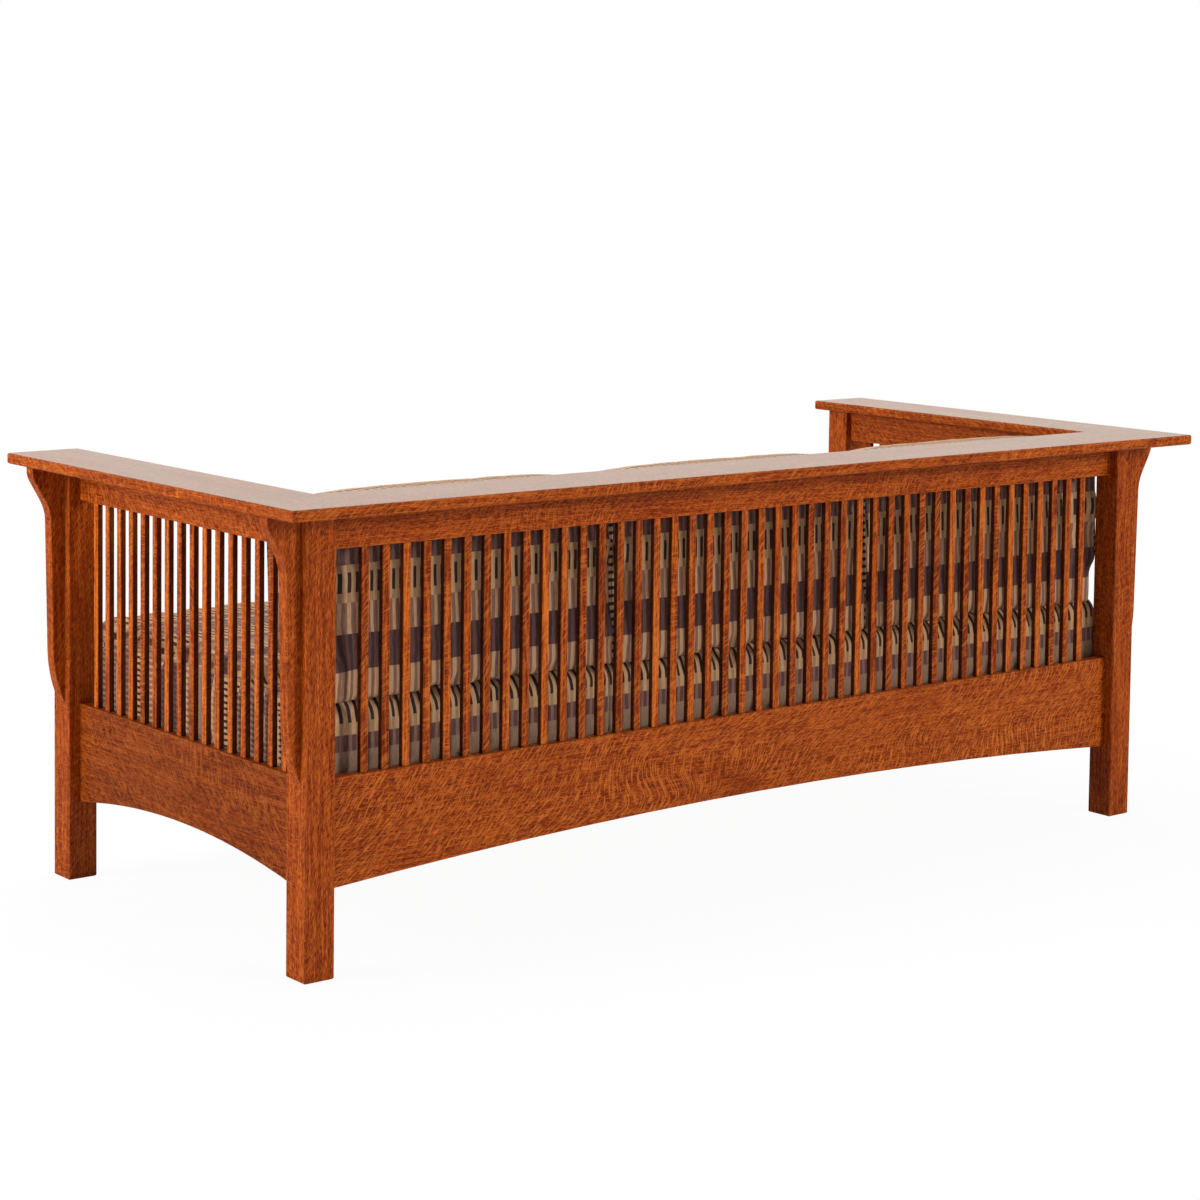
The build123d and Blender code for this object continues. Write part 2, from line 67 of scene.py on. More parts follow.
scene = bpy.context.scene
camera = bpy.data.objects.new("camera", bpy.data.cameras.new("camera"))
scene.collection.objects.link(camera)
camera.matrix_world = aim(place=(3.3839, 4.1261, 1.3490), yaw=-128.679, pitch=-4.0,
                          roll=0.720)
camera.data.sensor_width = 36
camera.data.lens = 84.2
camera.data.shift_y = -0.2174
camera.data.clip_end = 100
scene.camera = camera
print("camera: lens", camera.data.lens, "mm, shift", camera.data.shift_y)

# %% [markdown]
# ## Materials as sums
# A material is a sum of patterns, so it reads best as one. This small class wraps a socket,
# and + - * / on it add the Math nodes. Every other node comes from one method, which takes
# the node's type, its settings and the values or links of its sockets.

# %% A socket that can be calculated with
class Value:
    """A number or colour that a material works out at each point of a surface."""

    def __init__(self, recipe, socket):
        self.recipe, self.socket = recipe, socket

    def maths(self, operation, *terms):
        """A Math node in the same material, with these terms."""
        return self.recipe.node("ShaderNodeMath", {"operation": operation}, terms)

    def __add__(self, other):
        return self.maths("ADD", self, other)

    def __sub__(self, other):
        return self.maths("SUBTRACT", self, other)

    def __rsub__(self, other):
        return self.maths("SUBTRACT", other, self)

    def __mul__(self, other):
        return self.maths("MULTIPLY", self, other)

    def __truediv__(self, other):
        return self.maths("DIVIDE", self, other)

    __radd__, __rmul__ = __add__, __mul__


class Recipe:
    """One material: its node tree, and the point of the surface in the frame's metres. With
    bpy.data.worlds as its home it is a sky, and the point is the direction of the look."""

    def __init__(self, name, home=bpy.data.materials):
        self.material = home.new(name)
        self.material.use_nodes = True
        self.tree = self.material.node_tree
        self.tree.nodes.clear()
        self.point = self.node("ShaderNodeTexCoord", output="Object")

    def node(self, kind, settings=(), inputs=(), output=0):
        """Adds a node, sets it up, fills its sockets, and gives the named output, or a list
        of outputs for a tuple of names."""
        made = self.tree.nodes.new(kind)
        for key, setting in dict(settings).items():
            if key == "stops":
                elements = made.color_ramp.elements
                while len(elements) < len(setting):
                    elements.new(1)
                for element, (place, colour) in zip(elements, setting):
                    element.position, element.color = place, (*colour, 1)
            elif key == "interpolation":
                made.color_ramp.interpolation = setting
            else:
                setattr(made, key, setting)
        for key, given in inputs.items() if isinstance(inputs, dict) else enumerate(inputs):
            if isinstance(given, Value):
                self.tree.links.new(given.socket, made.inputs[key])
            elif given is not None:
                made.inputs[key].default_value = given
        if isinstance(output, tuple):
            return [Value(self, made.outputs[one]) for one in output]
        return Value(self, made.outputs[output])

    def noise(self, point, scale, detail=2.0, roughness=0.5):
        """Soft noise from 0 to 1, with scale waves to each unit of the point."""
        return self.node("ShaderNodeTexNoise", {}, {"Vector": point, "Scale": scale,
                         "Detail": detail, "Roughness": roughness})

    def join(self, x, y, z):
        """A point made of three values."""
        return self.node("ShaderNodeCombineXYZ", {}, (x, y, z))

    def step(self, value, low, high, start=0.0, end=1.0):
        """Rises smoothly from start to end while value goes from low to high."""
        return self.node("ShaderNodeMapRange", {"interpolation_type": "SMOOTHSTEP"},
                         (value, low, high, start, end))

    def blend(self, share, first, second, way="MIX"):
        """Goes from the first colour to the second by a share from 0 to 1."""
        return self.node("ShaderNodeMix", {"data_type": "RGBA", "blend_type": way},
                         {0: share, 6: first, 7: second}, output=2)

    def finish(self, shader, output="ShaderNodeOutputMaterial"):
        """Sends the shader to the surface and gives the material."""
        surface = self.tree.nodes.new(output).inputs["Surface"]
        self.tree.links.new(shader.socket, surface)
        return self.material


def picked(red, green, blue):
    """The linear colour of a value read from a screen, each part from 0 to 255."""
    parts = np.array((red, green, blue)) / 255
    linear = np.where(parts < 0.04045, parts / 12.92, ((parts + 0.055) / 1.055) ** 2.4)
    return tuple(float(part) for part in linear)


print("shader sums ready; mid oak is", np.round(picked(160, 74, 32), 3))

# %% [markdown]
# ## Stained quarter-sawn oak
# Quarter-sawn oak shows three things at once. Fine straight growth lines and short dark pores
# run along the board. Pale ray flecks cross them at a slant. The stain lies unevenly over
# both. Each board gets its own seed, so that no two match, and each spindle its own tone.

# %% The oak
SLANT = -0.85  # turn of the ray flecks from the grain, in radians
STREAKS, DASHES, PORES, RAYS = 210.0, 620.0, 1500.0, 390.0  # across the grain, per metre
STAIN = ((0.05, picked(92, 27, 3)), (0.40, picked(132, 50, 9)),
         (0.68, picked(158, 69, 15)), (1.0, picked(198, 101, 29)))
FLECK, PORE = picked(204, 111, 40), picked(70, 22, 6)
# The first colour is a painted highlight for the edges. The second is painted shade for the
# sides of bars in the gaps of a row.
EDGE_HIGHLIGHT, GAP_SHADE_COLOUR = picked(206, 124, 66), picked(44, 14, 6)
EDGE = 0.0018  # how far the rounding and the painted edge highlight reach from an edge, in metres
FACING = 0.6, 0.9  # a face looks along an axis from the first cosine, fully from the second
TOP_SHADE_SHARE, GAP_SHADE_SHARE = 0.42, 0.80  # painted shade: how much darker the faces that look up, and the sides of bars in the gaps of a row, are made


def oak(name, grain, seed, tone=1.0, fleck=1.0, polish=0.0, sticks=None):
    """Stained oak with its grain along X, Y or Z. sticks is (axis, pitch, start) for a row of
    bars: the whole number of pitches from start picks each bar's tone and its piece of tree.
    Level = long growth streaks + short dashes + blotches + the bar's own share, and a ramp
    turns it into stain. Flecks lie on lines turned by SLANT from the grain and bent by a
    slow noise; they lighten it, pores darken it, and a painted highlight lightens the edges.
    tone scales the colour and fleck the strength of the flecks. polish is the share of clear
    coat on faces that look up, and these faces also get painted shade. Where sticks are
    given, the faces that look along the row get painted shade, for the shade in the gaps."""
    board = Recipe(name)
    x, y, z = board.node("ShaderNodeSeparateXYZ", {}, (board.point,), output=(0, 1, 2))
    along, across, depth = {"X": (x, z, y), "Y": (y, z, x), "Z": (z, x, y)}[grain]
    bar_share = 0.5
    if sticks:
        axis, pitch, start = sticks
        bar = ({"X": x, "Y": y}[axis] + start) / pitch
        bar = bar.maths("FLOOR", bar)
        bar_share = board.node("ShaderNodeTexWhiteNoise", {"noise_dimensions": "1D"},
                               {"W": bar + seed}, output="Value")
        along = along + bar * 0.71
    wander = board.noise(board.join(along * 2.2, across * 6.0, depth * 6.0 + seed), 1.0, 1.0)
    bent = across + wander * 0.020
    streaks = board.noise(board.join(along * 9.0, bent * STREAKS, depth * STREAKS + seed),
                          1.0, 2.0, 0.6)
    dashes = board.noise(board.join(along * 95.0, bent * DASHES, depth * DASHES + seed),
                         1.0, 2.0, 0.65)
    blotch = board.noise(board.join(along * 3.0, across * 9.0, depth * 9.0 + seed), 1.0, 3.0,
                         0.6)
    pores = board.noise(board.join(along * 90.0, bent * PORES, depth * PORES), 1.0, 1.0)
    ray_long = along * math.cos(SLANT) + across * math.sin(SLANT)
    ray_wide = (across * math.cos(SLANT) - along * math.sin(SLANT) + wander * 0.16
                + (streaks - 0.5) * 0.004)
    rays = board.noise(board.join(ray_long * 42.0, ray_wide * RAYS, depth * 60.0 + seed),
                       1.0, 2.0, 0.6)
    patches = board.noise(board.join(along * 5.0, across * 9.0, depth * 5.0 + seed), 1.0, 1.0)
    streak_share, dash_share, darker = (0.60, 0.46, 0.11) if sticks else (0.34, 0.62, 0.07)
    level = (board.step(streaks, 0.34, 0.66) * streak_share
             + board.step(dashes, 0.34, 0.66) * dash_share
             + board.step(blotch, 0.32, 0.68) * 0.10 - darker)
    stain = board.node("ShaderNodeValToRGB", {"stops": STAIN},
                       (level + (bar_share - 0.5) * 0.5,))
    flecked = board.blend(
        board.step(rays, 0.50, 0.60) * board.step(patches, 0.18, 0.46) * (0.70 * fleck),
        stain, (*FLECK, 1))
    open_pore = board.step(pores, 0.60, 0.74)
    pored = board.blend(open_pore * 0.4, flecked, (*PORE, 1))
    soft = board.node("ShaderNodeBevel", {"samples": 4}, {"Radius": EDGE})
    flat = board.node("ShaderNodeNewGeometry", output="Normal")
    upward = board.node("ShaderNodeSeparateXYZ", {}, (flat,), output="Z")
    facing = board.node("ShaderNodeVectorMath", {"operation": "DOT_PRODUCT"}, (soft, flat),
                        output="Value")
    # painted highlight: the colour is lightened along the edges, where the bevelled normal
    # turns away from the face
    edge_lit = board.blend(board.step(facing, 0.985, 0.90, 0.0, 0.30), pored, (*EDGE_HIGHLIGHT, 1))
    toned = board.blend(1.0, edge_lit, (tone, tone, tone, 1), "MULTIPLY")
    # painted shade: on coated boards the faces that look up are darkened
    if polish:
        toned = board.blend(board.step(upward, *FACING) * TOP_SHADE_SHARE, toned, (0, 0, 0, 1))
    # painted shade: the faces of the bars that look along the row, into the gaps between bars,
    # are darkened
    if sticks:
        sides = board.node("ShaderNodeSeparateXYZ", {}, (flat,), output=sticks[0])
        sides = sides.maths("ABSOLUTE", sides)
        toned = board.blend(board.step(sides, *FACING) * GAP_SHADE_SHARE, toned,
                            (*GAP_SHADE_COLOUR, 1))
    bump = board.node("ShaderNodeBump", {}, {"Height": dashes - open_pore,
                      "Strength": 0.12, "Distance": 0.0002, "Normal": soft})
    return board.finish(board.node("ShaderNodeBsdfPrincipled", {}, {
        "Base Color": toned, "Roughness": 0.36 + (blotch - 0.5) * 0.2, "Normal": bump,
        "Specular IOR Level": 0.12, "Coat Roughness": 0.22,
        "Coat Weight": board.step(upward, *FACING) * polish}))


def dress(material, *names):
    """Puts a material on every slot of these nodes."""
    for name in names:
        mesh = nodes[name].data
        mesh.materials.clear()
        mesh.materials.append(material)


for number, (name, grain, tone, fleck, *polish) in enumerate((
        ("back_left_post", "Z", 1.0, 0.35), ("back_right_post", "Z", 1.0, 0.35),
        ("front_left_post", "Z", 1.0, 0.35), ("front_right_post", "Z", 1.0, 0.35),
        ("back_left_corbel", "Z", 1.0, 0.5), ("back_right_corbel", "Z", 1.0, 0.5),
        ("front_left_corbel", "Z", 1.0, 0.5), ("front_right_corbel", "Z", 1.0, 0.5),
        ("back_top_rail", "X", 1.0, 0.6), ("back_bottom_rail", "X", 0.94, 1.0),
        ("front_rail", "X", 0.96, 1.0), ("left_top_rail", "Y", 1.0, 0.6),
        ("right_top_rail", "Y", 1.0, 0.6), ("left_bottom_rail", "Y", 0.63, 0.7),
        ("right_bottom_rail", "Y", 0.63, 0.7), ("back_cap", "X", 0.98, 0.7, 0.78),
        ("left_arm_cap", "Y", 0.98, 0.7, 0.78), ("right_arm_cap", "Y", 0.98, 0.7, 0.78))):
    dress(oak(name + "_oak", grain, number + 1, tone, fleck, *polish), name)
print("boards stained:", number + 1)

# %% The spindles, each a stick of its own
for name, axis, pitch, seed in (("back", "X", 0.041, 31), ("left", "Y", 0.042, 57),
                                ("right", "Y", 0.042, 83)):
    dress(oak(name + "_spindle_oak", "Z", seed, 1.05, 0.7, sticks=(axis, pitch, pitch / 2)),
          name + "_spindles")
print("spindles stained")

# %% [markdown]
# ## Pegs and the wood nobody sees
# The pegs show their end grain, which drinks more stain and goes dark. The cleats, slats,
# splines and loose tenons are left as plain pale wood, since no one looks at them.

# %% End grain, and plain wood
def end_grain(name):
    """Dark stained end grain: a fine mottle, as cut pores drink more stain than the wood
    between them."""
    peg_mix = Recipe(name)
    mottle = peg_mix.noise(peg_mix.point, 900.0, 3.0, 0.6)
    stain = peg_mix.node("ShaderNodeValToRGB", {"stops": (
        (0.25, picked(84, 30, 10)), (0.75, picked(138, 58, 22)))}, (mottle,))
    return peg_mix.finish(peg_mix.node("ShaderNodeBsdfPrincipled", {}, {
        "Base Color": stain, "Roughness": 0.6, "Specular IOR Level": 0.1}))


def plain_wood(name, grain):
    """Unstained poplar: a pale base, slow bands along the grain and faint fine lines."""
    plain_mix = Recipe(name)
    x, y, z = plain_mix.node("ShaderNodeSeparateXYZ", {}, (plain_mix.point,),
                             output=(0, 1, 2))
    along, across = {"X": (x, y), "Y": (y, x)}[grain]
    bands = plain_mix.noise(plain_mix.join(along * 2.0, across * 60.0, z * 60.0), 1.0, 3.0)
    lines = plain_mix.noise(plain_mix.join(along * 20.0, across * 700.0, z * 700.0), 1.0, 2.0)
    colour = plain_mix.node("ShaderNodeValToRGB", {"stops": (
        (0.25, picked(176, 140, 92)), (0.75, picked(222, 194, 146)))},
        (0.5 + (bands - 0.5) * 0.8 + (lines - 0.5) * 0.5,))
    bump = plain_mix.node("ShaderNodeBump", {}, {"Height": lines, "Strength": 0.2,
                          "Distance": 0.0003})
    return plain_mix.finish(plain_mix.node("ShaderNodeBsdfPrincipled", {}, {
        "Base Color": colour, "Roughness": 0.62 + (bands - 0.5) * 0.15, "Normal": bump}))


dress(end_grain("peg_end_grain"), "tenon_pegs")
dress(plain_wood("slat_wood", "Y"), "seat_slats")
dress(plain_wood("cleat_wood", "X"), "back_cleat", "front_cleat", "cap_tenons",
      "mitre_splines")
print("pegs and plain wood done")

# %% [markdown]
# ## The striped cloth
# The cushion cloth is a woven stripe in tan, mauve and plum. Narrow columns run one way, and
# every few centimetres the loom changes the two colours that alternate, so the columns break
# into bands. Two ramps hold the colours of the even and the odd columns. They read the
# cloth's own map, in metres, so the pattern goes round the edges of a cushion as cloth does.

# %% Bands and columns
TAN, DARK_TAN = picked(190, 154, 116), picked(164, 131, 98)
MAUVE, TAUPE = picked(138, 103, 90), picked(150, 121, 99)
PLUM, DEEP_PLUM, CHARCOAL = picked(102, 73, 69), picked(74, 53, 52), picked(56, 42, 42)
SLUB = picked(60, 46, 42)
BANDS = (  # height of the band, colour of the wide columns, colour of the narrow columns
    (0.0394, TAUPE, TAUPE), (0.0277, PLUM, MAUVE), (0.0176, TAN, DARK_TAN),
    (0.070, TAN, CHARCOAL), (0.070, PLUM, TAUPE), (0.014, TAN, DARK_TAN),
    (0.034, PLUM, MAUVE), (0.0135, TAN, DARK_TAN), (0.0352, TAN, CHARCOAL),
    (0.0152, TAN, DARK_TAN), (0.0506, MAUVE, TAN), (0.0532, PLUM, DEEP_PLUM),
    (0.0506, TAN, MAUVE))
REPEAT = sum(band[0] for band in BANDS)
COLUMN = 0.0139  # one wide and one narrow column together
THREADS = 4200.0  # radians per metre, so a thread every 1.5 mm


def striped_cloth(name, start, rise):
    """column = 0 in the middle of a wide column and 1 in the middle of a narrow one. place =
    how far v has come in its repeat, counted from start and upwards or downwards (rise is 1
    or -1). A slow noise pulls both a little, and slubs vary the colour."""
    weave = Recipe(name)
    u, v = weave.node("ShaderNodeSeparateXYZ", {}, (
        weave.node("ShaderNodeUVMap", {"uv_map": "cloth"}),), output=(0, 1))
    slub = weave.noise(weave.join(u * 900.0, v * 60.0, 0.0), 1.0, 2.0)
    pull = weave.noise(weave.join(u * 14.0, v * 14.0, 3.0), 1.0, 1.0)
    loose_u = u + (pull - 0.5) * 0.004
    loose_v = v + (weave.noise(weave.join(u * 9.0, v * 9.0, 7.0), 1.0, 1.0) - 0.5) * 0.006
    column = loose_u.maths("PINGPONG", loose_u, COLUMN / 2) / (COLUMN / 2)
    narrow = weave.step(column, 0.50, 0.62)
    place = (loose_v * rise + start) / REPEAT
    place = place.maths("FRACT", place)
    edges = np.cumsum([0] + [band[0] for band in BANDS[:-1]]) / REPEAT
    wide_colour, narrow_colour = (weave.node("ShaderNodeValToRGB", {
        "interpolation": "CONSTANT",
        "stops": [(float(edge), band[part]) for edge, band in zip(edges, BANDS)]}, (place,))
        for part in (1, 2))
    striped = weave.blend(narrow, wide_colour, narrow_colour)
    heather = weave.blend(weave.step(slub, 0.30, 0.72, 0.0, 0.5), striped, (*SLUB, 1),
                          "SOFT_LIGHT")
    threads = u.maths("SINE", u * THREADS) + v.maths("SINE", v * THREADS)
    ribs = threads * 0.3 + slub + narrow * 0.6
    bump = weave.node("ShaderNodeBump", {}, {"Height": ribs, "Strength": 0.35,
                      "Distance": 0.0004})
    return weave.finish(weave.node("ShaderNodeBsdfPrincipled", {}, {
        "Base Color": heather, "Roughness": 0.86 + (slub - 0.5) * 0.15, "Normal": bump,
        "Sheen Weight": 0.06, "Sheen Roughness": 0.6, "Specular IOR Level": 0.12}))


def ticking(name):
    """The deck pad's plain pale cloth: a fine square weave with slow changes of tone."""
    pad_mix = Recipe(name)
    tone = pad_mix.noise(pad_mix.point, 18.0, 2.0)
    thread = pad_mix.noise(pad_mix.point, 1600.0, 1.0)
    colour = pad_mix.blend(tone * 0.6 + thread * 0.4, (*picked(188, 178, 162), 1),
                           (*picked(214, 206, 190), 1))
    bump = pad_mix.node("ShaderNodeBump", {}, {"Height": thread, "Strength": 0.4,
                        "Distance": 0.0004})
    return pad_mix.finish(pad_mix.node("ShaderNodeBsdfPrincipled", {}, {
        "Base Color": colour, "Roughness": 0.9 + (thread - 0.5) * 0.1, "Normal": bump,
        "Specular IOR Level": 0.2}))


dress(ticking("deck_cloth"), "seat_deck_pad")
seat_cloth = striped_cloth("seat_stripe", 0.0, 1.0)
back_cloth = striped_cloth("back_stripe", 0.1625, -1.0)
print("cloth: columns", COLUMN * 1000, "mm, repeat", round(REPEAT * 1000), "mm")

# %% [markdown]
# ## A box cushion
# Each cushion is a block of foam in a sewn cover. One length of cloth goes all the way round
# it, and a panel closes each end, with a welt in the seam. The cover starts as the skin of a
# block of cells, because then the threads of the cloth are the lines of the mesh. The block
# is rounded, crowned and pulled in between its corners by formula.

# %% The skin of a block
def block_skin(cells):
    """Numbers the lattice points on the outside of a block of cells.
    Gives their places from -1 to 1, closer together at the edges, the quads of the six sides
    turned outwards, and the side of each quad, which is twice its axis, plus one at the far
    end."""
    shape = np.array(cells) + 1
    outside = np.zeros(shape, bool)
    for axis in range(3):
        np.moveaxis(outside, axis, 0)[[0, -1]] = True
    number = np.full(shape, -1)
    number[outside] = np.arange(outside.sum())
    quads, sides = [], []
    for axis in range(3):
        for end in (0, 1):
            face = np.take(number, -end, axis)
            ring = np.stack([face[:-1, :-1], face[1:, :-1], face[1:, 1:], face[:-1, 1:]],
                            -1).reshape(-1, 4)
            quads.append(ring if (axis != 1) == bool(end) else ring[:, ::-1])
            sides.append(np.full(len(ring), 2 * axis + end))
    evenly = np.argwhere(outside) / np.array(cells) * 2 - 1
    closer_at_edges = evenly + 0.32 * np.sin(np.pi * evenly) / np.pi
    return closer_at_edges, np.concatenate(quads), np.concatenate(sides)


def softer_of(first, second, width):
    """The smaller of two heights, with the crossing rounded over about this width."""
    return (first + second - np.sqrt((first - second) ** 2 + width ** 2)) / 2


def ramp(value, low, high):
    """0 below low, 1 above high, and smooth between them."""
    share = np.clip((value - low) / (high - low), 0, 1)
    return share * share * (3 - 2 * share)


print("cells of a seat cover:", len(block_skin((44, 56, 14))[1]))

# %% Shape of a cushion
def crown(share_x, share_y, dome, over_end, low_edge, high_edge, dip):
    """Height of the crowned face as a share of the thickness, at places from -1 to 1.
    Along x it falls by dome * x squared, and over the last stretch of over_end (width, drop)
    as a quarter round. Along y it falls off by each edge's (depth, start, power), and by dip
    (depth, from, to) where another cushion presses. The lower of the two counts."""
    turn = np.clip((np.abs(share_x) - 1 + over_end[0]) / over_end[0], 0, 0.95)
    over_x = 1 - dome * share_x ** 2 - over_end[1] * (1 - np.sqrt(1 - turn ** 2))
    over_y = 1 - dip[0] * ramp(share_y, dip[1], dip[2])
    for sign, (depth, start, power) in ((-1, low_edge), (1, high_edge)):
        over_y = over_y - depth * np.clip(sign * share_y - start, 0, 1) ** power
    return softer_of(over_x, over_y, 0.02)


PANEL_SWELL = 0.003


def cushion_points(places, half, rounds, crown_of, draw, end_round, belly, sag):
    """Places from -1 to 1 become points of the cushion, with its base at z = 0.
    Section: a rectangle with its corners rounded, low and high y at the base and then at the
    crown, and inside it on the end panels its own shape scaled down. Ends: the section
    shrinks along a quarter round of radius end_round, and the panels swell by PANEL_SWELL.
    Crown: heights are scaled by crown_of(x, y). Draw: the sides come in by
    draw * (1 - place squared). Belly: the base swells by this much between its edges. Sag:
    the base's low y edge hangs past it by this much."""
    section = places[:, 1:]
    reach = np.maximum(np.abs(section).max(1, keepdims=True), 1e-6)
    corner = section / reach * half[1:]
    which = (corner[:, 1] > 0) * 2 + (corner[:, 0] > 0)
    radius = np.array(rounds)[which][:, None]
    inner = np.minimum(np.abs(corner), half[1:] - radius)
    past = np.abs(corner) - inner
    past = past / np.maximum(np.linalg.norm(past, axis=1, keepdims=True), 1e-9)
    rounded = np.sign(corner) * (inner + radius * past) * reach
    x = places[:, 0] * half[0]
    turn = np.clip((np.abs(x) - half[0] + end_round) / end_round, 0, 0.86)
    shrink = end_round * (1 - np.sqrt(1 - turn ** 2))
    y = rounded[:, 0] * (1 - shrink / half[1])
    z = rounded[:, 1] * (1 - shrink / half[2]) + half[2]
    swell = np.where(np.abs(places[:, 0]) > 0.999, 1 - reach[:, 0] ** 2, 0)
    share_x, share_y = x / half[0], y / half[1]
    x = x + np.sign(x) * PANEL_SWELL * swell - share_x * draw[0] * (1 - share_y ** 2)
    y = y - share_y * draw[1] * (1 - share_x ** 2)
    z = z * crown_of(share_x, share_y)
    near_base = 1 - z / (2 * half[2])
    under = belly * (1 - share_x ** 10) * (1 - np.abs(share_y) ** 5)
    y = y - sag * near_base ** 6 * ramp(-share_y, 0.5, 1.0)
    return np.stack([x, y, z - under * near_base], 1)


def cloth_map(places, quads, sides, half, crown_of):
    """Each quad corner's place on the flat cloth, in metres. Round the cushion, u is x and v
    is the way up the far edge and over the crown; on the end panels u is height and v is y.
    The far and the near edge are as high as the crown is there."""
    x, y, z = (places[quads] * half).transpose(2, 0, 1)
    deep = half[1]
    far, near = (float(crown_of(np.zeros(1), np.full(1, side))[0]) for side in (1, -1))
    height, tall = z + half[2], 2 * half[2]
    over = np.select([sides == 5, sides == 3, sides == 2, sides == 4], np.arange(4) + 1)
    over = over[:, None]
    v = np.select([over == 1, over == 2, over == 3, over == 4],
                  [tall * far + deep - y, height * far,
                   tall * far + 2 * deep + (tall - height) * near, y - deep], y)
    return np.stack([np.where(over == 0, height, x), v], -1)


print("cushion formulas ready")

# %% Into a mesh
def skin_object(name, points, quads, material, cloth=None):
    """A mesh object of these points and quads, smooth, with its cloth map if it has one."""
    mesh = bpy.data.meshes.new(name)
    mesh.from_pydata(points.tolist(), [], quads.tolist())
    if cloth is not None:
        mesh.uv_layers.new(name="cloth").data.foreach_set("uv", cloth.ravel())
    mesh.polygons.foreach_set("use_smooth", np.ones(len(quads), bool))
    mesh.materials.append(material)
    piece = bpy.data.objects.new(name, mesh)
    scene.collection.objects.link(piece)
    return piece


def points_of(mesh):
    """The points of a mesh, one row each."""
    flat = np.empty(len(mesh.vertices) * 3, np.float32)
    mesh.vertices.foreach_get("co", flat)
    return flat.reshape(-1, 3).astype(float)


print("mesh helpers ready")

# %% [markdown]
# ## Stuffing it
# Cloth over foam puckers at its seams and strains over its crown. Blender's Cloth finds that
# shape: the seams are held, the cloth is cut a little large and swells a little, and a weak
# pull home on every point stands in for the foam. Every point's move is capped, and the
# result is kept inside the room that the cushion has.

# %% Blow up the cover
FRAMES = 20


def stuffed(points, quads, held, most):
    """Runs the Cloth simulation for FRAMES and gives the points, moved by most at most.
    The held points stay, and the others get a weak pull home."""
    piece = skin_object("stuffing", points, quads, seat_cloth)
    group = piece.vertex_groups.new(name="foam")
    group.add(list(range(len(points))), 0.18, "REPLACE")
    group.add([int(point) for point in held], 1.0, "REPLACE")
    cloth = piece.modifiers.new("cloth", "CLOTH")
    wanted = cloth.settings
    wanted.quality = 6
    wanted.mass = 0.2
    wanted.tension_stiffness = wanted.compression_stiffness = 12
    wanted.shear_stiffness = 4
    wanted.bending_stiffness = 0.25
    wanted.shrink_min = -0.05  # so the cloth is cut 5 % large
    wanted.vertex_group_mass = "foam"
    wanted.use_pressure = True
    wanted.uniform_pressure_force = 4
    wanted.effector_weights.gravity = 0
    cloth.collision_settings.use_self_collision = False
    cloth.point_cache.frame_start, cloth.point_cache.frame_end = 1, FRAMES
    for number in range(1, FRAMES + 1):
        scene.frame_set(number)
    ready = piece.evaluated_get(bpy.context.evaluated_depsgraph_get())
    moves = points_of(ready.data) - points
    scene.frame_set(1)
    mesh = piece.data
    bpy.data.objects.remove(piece)
    bpy.data.meshes.remove(mesh)
    far = np.linalg.norm(moves, axis=1, keepdims=True)
    print("  moved", round(float(far.mean()) * 1000, 1), "mm in the mean,",
          round(float(far.max()) * 1000, 1), "at most")
    return points + moves * np.minimum(1, most / np.maximum(far, 1e-9))


CORD_SIDES = 8
CORD_BAND = 0.02  # how far up the cloth's repeat the strip for the cord is cut


def welt(name, path, closed, radius, material):
    """A round cord in the seam: circles of this radius square to the path, made into a tube.
    u runs along the cord and v round it, so the columns cross it and it keeps one band."""
    path = (np.roll(path, 1, 0) + path * 2 + np.roll(path, -1, 0)) / 4 if closed else path
    onward = np.roll(path, -1, 0) - np.roll(path, 1, 0) if closed else np.gradient(path, axis=0)
    onward /= np.linalg.norm(onward, axis=1, keepdims=True)
    outward = path - path.mean(0)
    outward -= (outward * onward).sum(1, keepdims=True) * onward
    outward /= np.linalg.norm(outward, axis=1, keepdims=True)
    sideways = np.cross(onward, outward)
    turn = np.linspace(0, 2 * np.pi, CORD_SIDES, endpoint=False)
    rings = (path[:, None] + radius * (np.cos(turn)[None, :, None] * outward[:, None]
             + np.sin(turn)[None, :, None] * sideways[:, None]))
    number = np.arange(len(path) * CORD_SIDES).reshape(len(path), CORD_SIDES)
    if closed:
        number = np.vstack([number, number[:1]])
    around = np.roll(number, -1, 1)
    quads = np.stack([number[:-1], around[:-1], around[1:], number[1:]], -1).reshape(-1, 4)
    run = np.concatenate([[0], np.cumsum(np.linalg.norm(np.diff(path, axis=0), axis=1))])
    run = np.append(run, run[-1] + 0.01) if closed else run
    girth = np.arange(CORD_SIDES + 1) / CORD_SIDES * 2 * np.pi * radius
    corners = (len(number) - 1, CORD_SIDES, 4)
    across = np.broadcast_to(np.stack([girth[:-1], girth[1:], girth[1:], girth[:-1]], -1),
                             corners)
    along = np.broadcast_to(np.stack([run[:-1], run[:-1], run[1:], run[1:]], -1)[:, None],
                            corners)
    cloth = np.stack([along, across + CORD_BAND], -1).reshape(-1, 2)
    return skin_object(name, rings.reshape(-1, 3), quads, material, cloth)


print("stuffing and welts ready")

# %% [markdown]
# ## The seat and back cushions
# A seat cushion lies on its base with its crown up, and its rear edge is pressed flat by the
# back cushion. A back cushion is the same box stood on its edge, its base to the spindles and
# its crown to the sitter, and leans a little forward, because the wide cap keeps its head
# away from the spindles. Each kind is stuffed once for each width, and some cushions of a
# kind are mirrored end for end, so that they don't all match.

